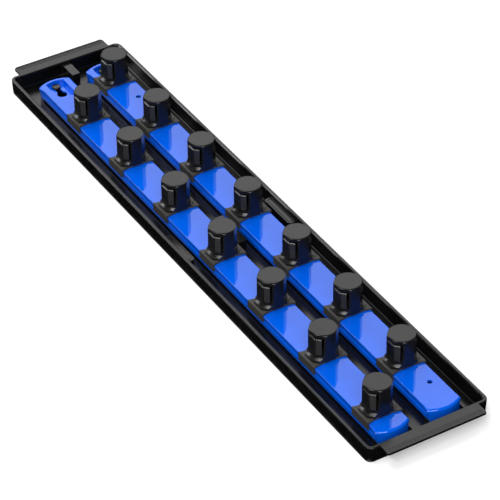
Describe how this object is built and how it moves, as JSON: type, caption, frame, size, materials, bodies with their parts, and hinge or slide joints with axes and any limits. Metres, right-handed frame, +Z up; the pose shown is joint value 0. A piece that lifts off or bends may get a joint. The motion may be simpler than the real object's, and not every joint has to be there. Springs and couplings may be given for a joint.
{
  "type": "socket organizer drawer tray",
  "caption": "Long shallow moulded tray with twin sliding rails that carry adjustable clips with octagonal twist-lock posts for square-drive sockets.",
  "frame": {"origin": "middle of the tray's flat underside", "axes": "+X along the tray, towards the end where the rails stop closest to the wall; +Y across the tray, towards the rear rail; +Z up out of the tray"},
  "size_m": [0.4826, 0.0884, 0.0333],
  "materials": {
    "tray": "satin moulded black plastic",
    "rail": "glossy blue plastic",
    "clip": "fine-grained black plastic",
    "tongue": "fine-grained black plastic"
  },
  "bodies": {
    "tray": {"tray": "tray"},
    "rail_front": {"rail_front": "rail"},
    "rail_rear": {"rail_rear": "rail"},
    "clip_front_1": {"clip_front_1": "clip"},
    "clip_front_2": {"clip_front_2": "clip"},
    "clip_front_3": {"clip_front_3": "clip"},
    "clip_front_4": {"clip_front_4": "clip"},
    "clip_front_5": {"clip_front_5": "clip"},
    "clip_front_6": {"clip_front_6": "clip"},
    "clip_front_7": {"clip_front_7": "clip"},
    "clip_rear_1": {"clip_rear_1": "clip"},
    "clip_rear_2": {"clip_rear_2": "clip"},
    "clip_rear_3": {"clip_rear_3": "clip"},
    "clip_rear_4": {"clip_rear_4": "clip"},
    "clip_rear_5": {"clip_rear_5": "clip"},
    "clip_rear_6": {"clip_rear_6": "clip"},
    "clip_rear_7": {"clip_rear_7": "clip"},
    "tongue_front_1": {"tongue_front_1": "tongue"},
    "tongue_front_2": {"tongue_front_2": "tongue"},
    "tongue_front_3": {"tongue_front_3": "tongue"},
    "tongue_front_4": {"tongue_front_4": "tongue"},
    "tongue_front_5": {"tongue_front_5": "tongue"},
    "tongue_front_6": {"tongue_front_6": "tongue"},
    "tongue_front_7": {"tongue_front_7": "tongue"},
    "tongue_rear_1": {"tongue_rear_1": "tongue"},
    "tongue_rear_2": {"tongue_rear_2": "tongue"},
    "tongue_rear_3": {"tongue_rear_3": "tongue"},
    "tongue_rear_4": {"tongue_rear_4": "tongue"},
    "tongue_rear_5": {"tongue_rear_5": "tongue"},
    "tongue_rear_6": {"tongue_rear_6": "tongue"},
    "tongue_rear_7": {"tongue_rear_7": "tongue"}
  },
  "joints": [
    {"name": "rail_front_slide", "type": "slide", "parent": "tray", "child": "rail_front", "axis": [-1, 0, 0], "range_m": [0, 0.009]},
    {"name": "rail_rear_slide", "type": "slide", "parent": "tray", "child": "rail_rear", "axis": [-1, 0, 0], "range_m": [0, 0.009]},
    {"name": "clip_front_1_slide", "type": "slide", "parent": "rail_front", "child": "clip_front_1", "axis": [1, 0, 0], "range_m": [-0.0344, 0.0212]},
    {"name": "clip_front_2_slide", "type": "slide", "parent": "rail_front", "child": "clip_front_2", "axis": [1, 0, 0], "range_m": [-0.0212, 0.0212]},
    {"name": "clip_front_3_slide", "type": "slide", "parent": "rail_front", "child": "clip_front_3", "axis": [1, 0, 0], "range_m": [-0.0212, 0.0212]},
    {"name": "clip_front_4_slide", "type": "slide", "parent": "rail_front", "child": "clip_front_4", "axis": [1, 0, 0], "range_m": [-0.0212, 0.0212]},
    {"name": "clip_front_5_slide", "type": "slide", "parent": "rail_front", "child": "clip_front_5", "axis": [1, 0, 0], "range_m": [-0.0212, 0.0212]},
    {"name": "clip_front_6_slide", "type": "slide", "parent": "rail_front", "child": "clip_front_6", "axis": [1, 0, 0], "range_m": [-0.0212, 0.0212]},
    {"name": "clip_front_7_slide", "type": "slide", "parent": "rail_front", "child": "clip_front_7", "axis": [1, 0, 0], "range_m": [-0.0212, 0.0009]},
    {"name": "clip_rear_1_slide", "type": "slide", "parent": "rail_rear", "child": "clip_rear_1", "axis": [1, 0, 0], "range_m": [-0.0043, 0.0212]},
    {"name": "clip_rear_2_slide", "type": "slide", "parent": "rail_rear", "child": "clip_rear_2", "axis": [1, 0, 0], "range_m": [-0.0212, 0.0212]},
    {"name": "clip_rear_3_slide", "type": "slide", "parent": "rail_rear", "child": "clip_rear_3", "axis": [1, 0, 0], "range_m": [-0.0212, 0.0212]},
    {"name": "clip_rear_4_slide", "type": "slide", "parent": "rail_rear", "child": "clip_rear_4", "axis": [1, 0, 0], "range_m": [-0.0212, 0.0212]},
    {"name": "clip_rear_5_slide", "type": "slide", "parent": "rail_rear", "child": "clip_rear_5", "axis": [1, 0, 0], "range_m": [-0.0212, 0.0212]},
    {"name": "clip_rear_6_slide", "type": "slide", "parent": "rail_rear", "child": "clip_rear_6", "axis": [1, 0, 0], "range_m": [-0.0212, 0.0212]},
    {"name": "clip_rear_7_slide", "type": "slide", "parent": "rail_rear", "child": "clip_rear_7", "axis": [1, 0, 0], "range_m": [-0.0212, 0.031]},
    {"name": "tongue_front_1_flex", "type": "hinge", "parent": "clip_front_1", "child": "tongue_front_1", "pos_m": [-0.15547, -0.02458, 0.01777], "axis": [-0.7071, -0.7071, 0], "range_deg": [0, 5], "stiffness_Nm_per_rad": 0.4},
    {"name": "tongue_front_2_flex", "type": "hinge", "parent": "clip_front_2", "child": "tongue_front_2", "pos_m": [-0.09476, -0.02458, 0.01777], "axis": [-0.7071, -0.7071, 0], "range_deg": [0, 5], "stiffness_Nm_per_rad": 0.4},
    {"name": "tongue_front_3_flex", "type": "hinge", "parent": "clip_front_3", "child": "tongue_front_3", "pos_m": [-0.03404, -0.02458, 0.01777], "axis": [-0.7071, -0.7071, 0], "range_deg": [0, 5], "stiffness_Nm_per_rad": 0.4},
    {"name": "tongue_front_4_flex", "type": "hinge", "parent": "clip_front_4", "child": "tongue_front_4", "pos_m": [0.02668, -0.02458, 0.01777], "axis": [-0.7071, -0.7071, 0], "range_deg": [0, 5], "stiffness_Nm_per_rad": 0.4},
    {"name": "tongue_front_5_flex", "type": "hinge", "parent": "clip_front_5", "child": "tongue_front_5", "pos_m": [0.08739, -0.02458, 0.01777], "axis": [-0.7071, -0.7071, 0], "range_deg": [0, 5], "stiffness_Nm_per_rad": 0.4},
    {"name": "tongue_front_6_flex", "type": "hinge", "parent": "clip_front_6", "child": "tongue_front_6", "pos_m": [0.14811, -0.02458, 0.01777], "axis": [-0.7071, -0.7071, 0], "range_deg": [0, 5], "stiffness_Nm_per_rad": 0.4},
    {"name": "tongue_front_7_flex", "type": "hinge", "parent": "clip_front_7", "child": "tongue_front_7", "pos_m": [0.20883, -0.02458, 0.01777], "axis": [-0.7071, -0.7071, 0], "range_deg": [0, 5], "stiffness_Nm_per_rad": 0.4},
    {"name": "tongue_rear_1_flex", "type": "hinge", "parent": "clip_rear_1", "child": "tongue_rear_1", "pos_m": [-0.18557, 0.01312, 0.01777], "axis": [-0.7071, -0.7071, 0], "range_deg": [0, 5], "stiffness_Nm_per_rad": 0.4},
    {"name": "tongue_rear_2_flex", "type": "hinge", "parent": "clip_rear_2", "child": "tongue_rear_2", "pos_m": [-0.12486, 0.01312, 0.01777], "axis": [-0.7071, -0.7071, 0], "range_deg": [0, 5], "stiffness_Nm_per_rad": 0.4},
    {"name": "tongue_rear_3_flex", "type": "hinge", "parent": "clip_rear_3", "child": "tongue_rear_3", "pos_m": [-0.06414, 0.01312, 0.01777], "axis": [-0.7071, -0.7071, 0], "range_deg": [0, 5], "stiffness_Nm_per_rad": 0.4},
    {"name": "tongue_rear_4_flex", "type": "hinge", "parent": "clip_rear_4", "child": "tongue_rear_4", "pos_m": [-0.00342, 0.01312, 0.01777], "axis": [-0.7071, -0.7071, 0], "range_deg": [0, 5], "stiffness_Nm_per_rad": 0.4},
    {"name": "tongue_rear_5_flex", "type": "hinge", "parent": "clip_rear_5", "child": "tongue_rear_5", "pos_m": [0.05729, 0.01312, 0.01777], "axis": [-0.7071, -0.7071, 0], "range_deg": [0, 5], "stiffness_Nm_per_rad": 0.4},
    {"name": "tongue_rear_6_flex", "type": "hinge", "parent": "clip_rear_6", "child": "tongue_rear_6", "pos_m": [0.11801, 0.01312, 0.01777], "axis": [-0.7071, -0.7071, 0], "range_deg": [0, 5], "stiffness_Nm_per_rad": 0.4},
    {"name": "tongue_rear_7_flex", "type": "hinge", "parent": "clip_rear_7", "child": "tongue_rear_7", "pos_m": [0.17873, 0.01312, 0.01777], "axis": [-0.7071, -0.7071, 0], "range_deg": [0, 5], "stiffness_Nm_per_rad": 0.4}
  ]
}
